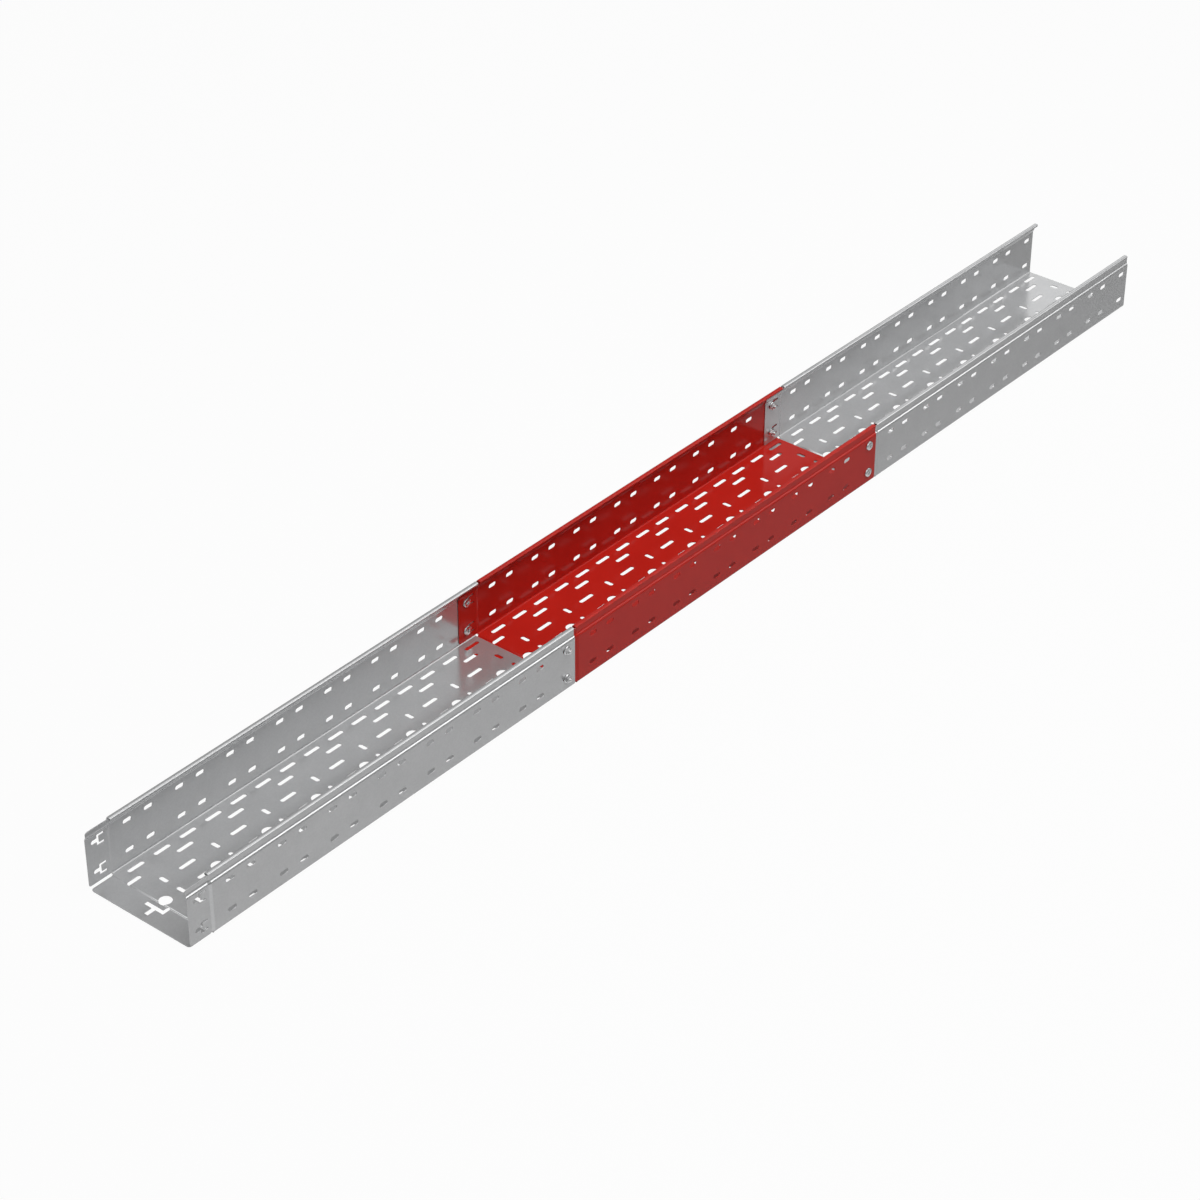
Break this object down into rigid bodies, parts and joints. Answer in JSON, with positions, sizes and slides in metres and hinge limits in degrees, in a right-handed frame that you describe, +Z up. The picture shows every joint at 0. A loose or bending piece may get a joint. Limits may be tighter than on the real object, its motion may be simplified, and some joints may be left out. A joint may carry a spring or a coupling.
{
  "type": "perforated cable tray run",
  "caption": "Straight run of perforated folded-sheet cable tray: galvanised and red-painted lengths joined by nested bolted couplers.",
  "frame": {"origin": "centre of the base, midway along the run and across it, at the underside of the coupler tabs", "axes": "+X along the run from the coupler end to the plain end, +Y across to the left wall, +Z up towards the open side"},
  "size_m": [2.322, 0.2192, 0.1021],
  "materials": {
    "galvanised_steel": "satin",
    "red_paint": "semi-gloss",
    "zinc_plate": "bright"
  },
  "bodies": {
    "root": {"front_tray": "galvanised_steel", "middle_tray": "red_paint", "rear_tray": "galvanised_steel", "front_joint_left_lower_bolt": "zinc_plate", "front_joint_left_lower_nut": "zinc_plate", "front_joint_left_upper_bolt": "zinc_plate", "front_joint_left_upper_nut": "zinc_plate", "front_joint_right_lower_bolt": "zinc_plate", "front_joint_right_lower_nut": "zinc_plate", "front_joint_right_upper_bolt": "zinc_plate", "front_joint_right_upper_nut": "zinc_plate", "rear_joint_left_lower_bolt": "zinc_plate", "rear_joint_left_lower_nut": "zinc_plate", "rear_joint_left_upper_bolt": "zinc_plate", "rear_joint_left_upper_nut": "zinc_plate", "rear_joint_right_lower_bolt": "zinc_plate", "rear_joint_right_lower_nut": "zinc_plate", "rear_joint_right_upper_bolt": "zinc_plate", "rear_joint_right_upper_nut": "zinc_plate"}
  },
  "joints": []
}
